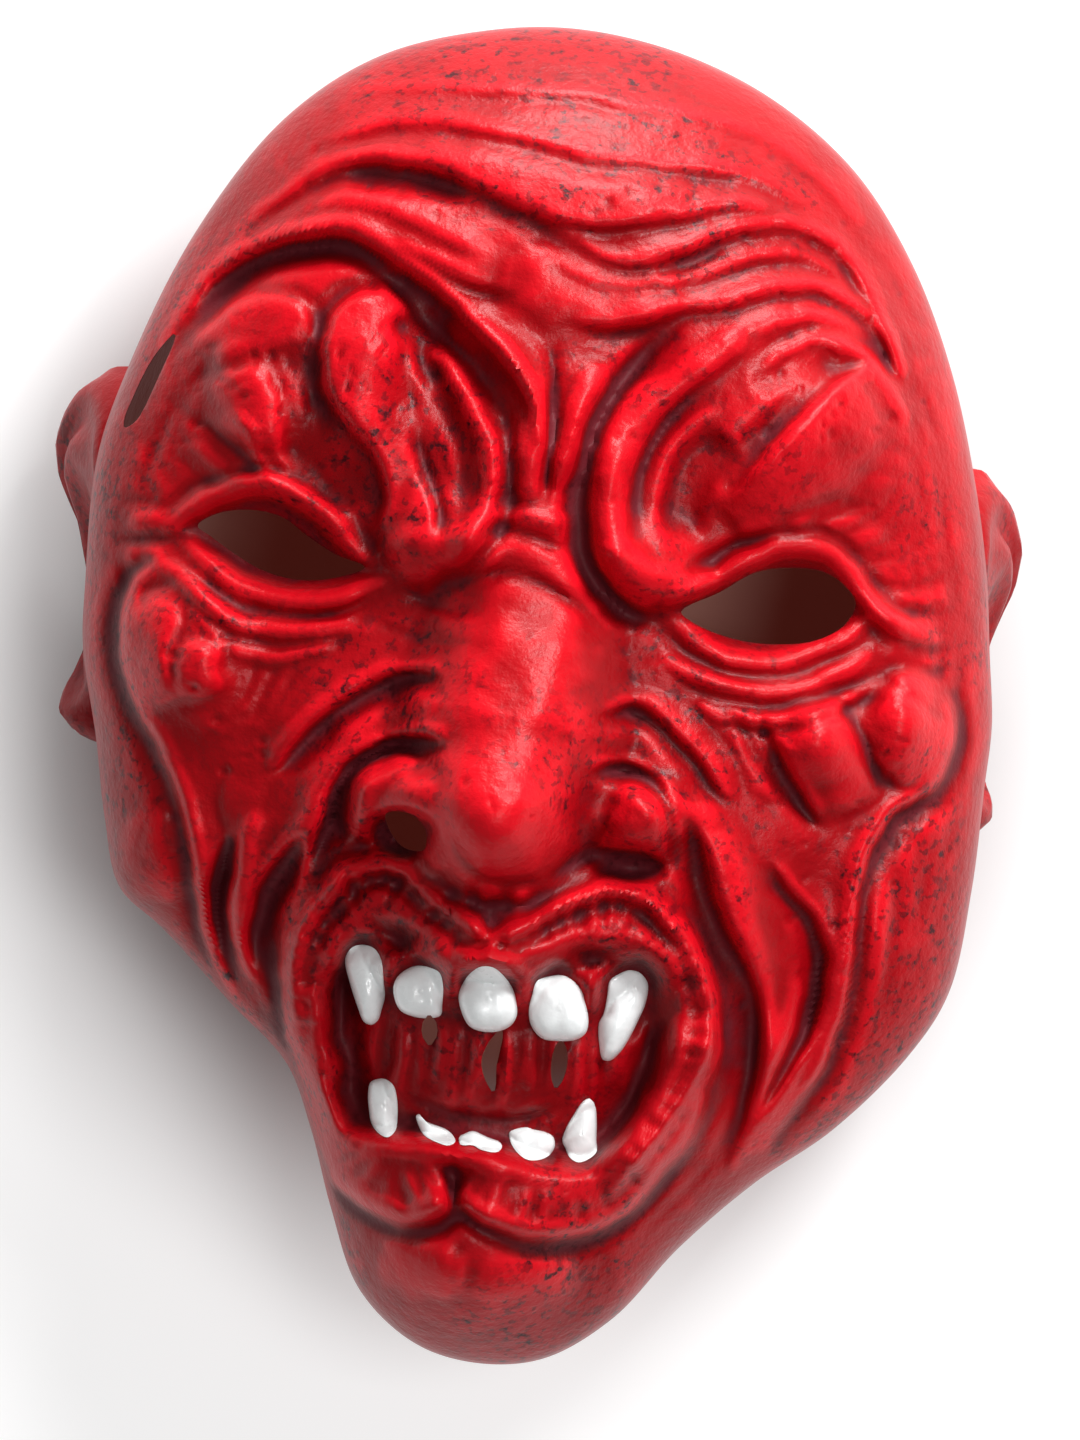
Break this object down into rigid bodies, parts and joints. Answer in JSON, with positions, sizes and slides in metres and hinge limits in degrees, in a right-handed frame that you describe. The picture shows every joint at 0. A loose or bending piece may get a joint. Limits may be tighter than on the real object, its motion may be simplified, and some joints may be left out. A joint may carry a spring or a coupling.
{
  "type": "demon mask",
  "caption": "Full-face moulded latex demon mask with deep brow folds, cut eye holes, ears and a fanged open mouth, lying on its open back rim.",
  "frame": {"origin": "on the floor plane under the middle of the whole mask, ears included", "axes": "+Y from chin to crown, +Z out of the face, +X to the viewer's right"},
  "size_m": [0.1914, 0.2676, 0.1253],
  "materials": {
    "red_latex": "satin"
  },
  "bodies": {
    "root": {"mask": "red_latex"}
  },
  "joints": []
}
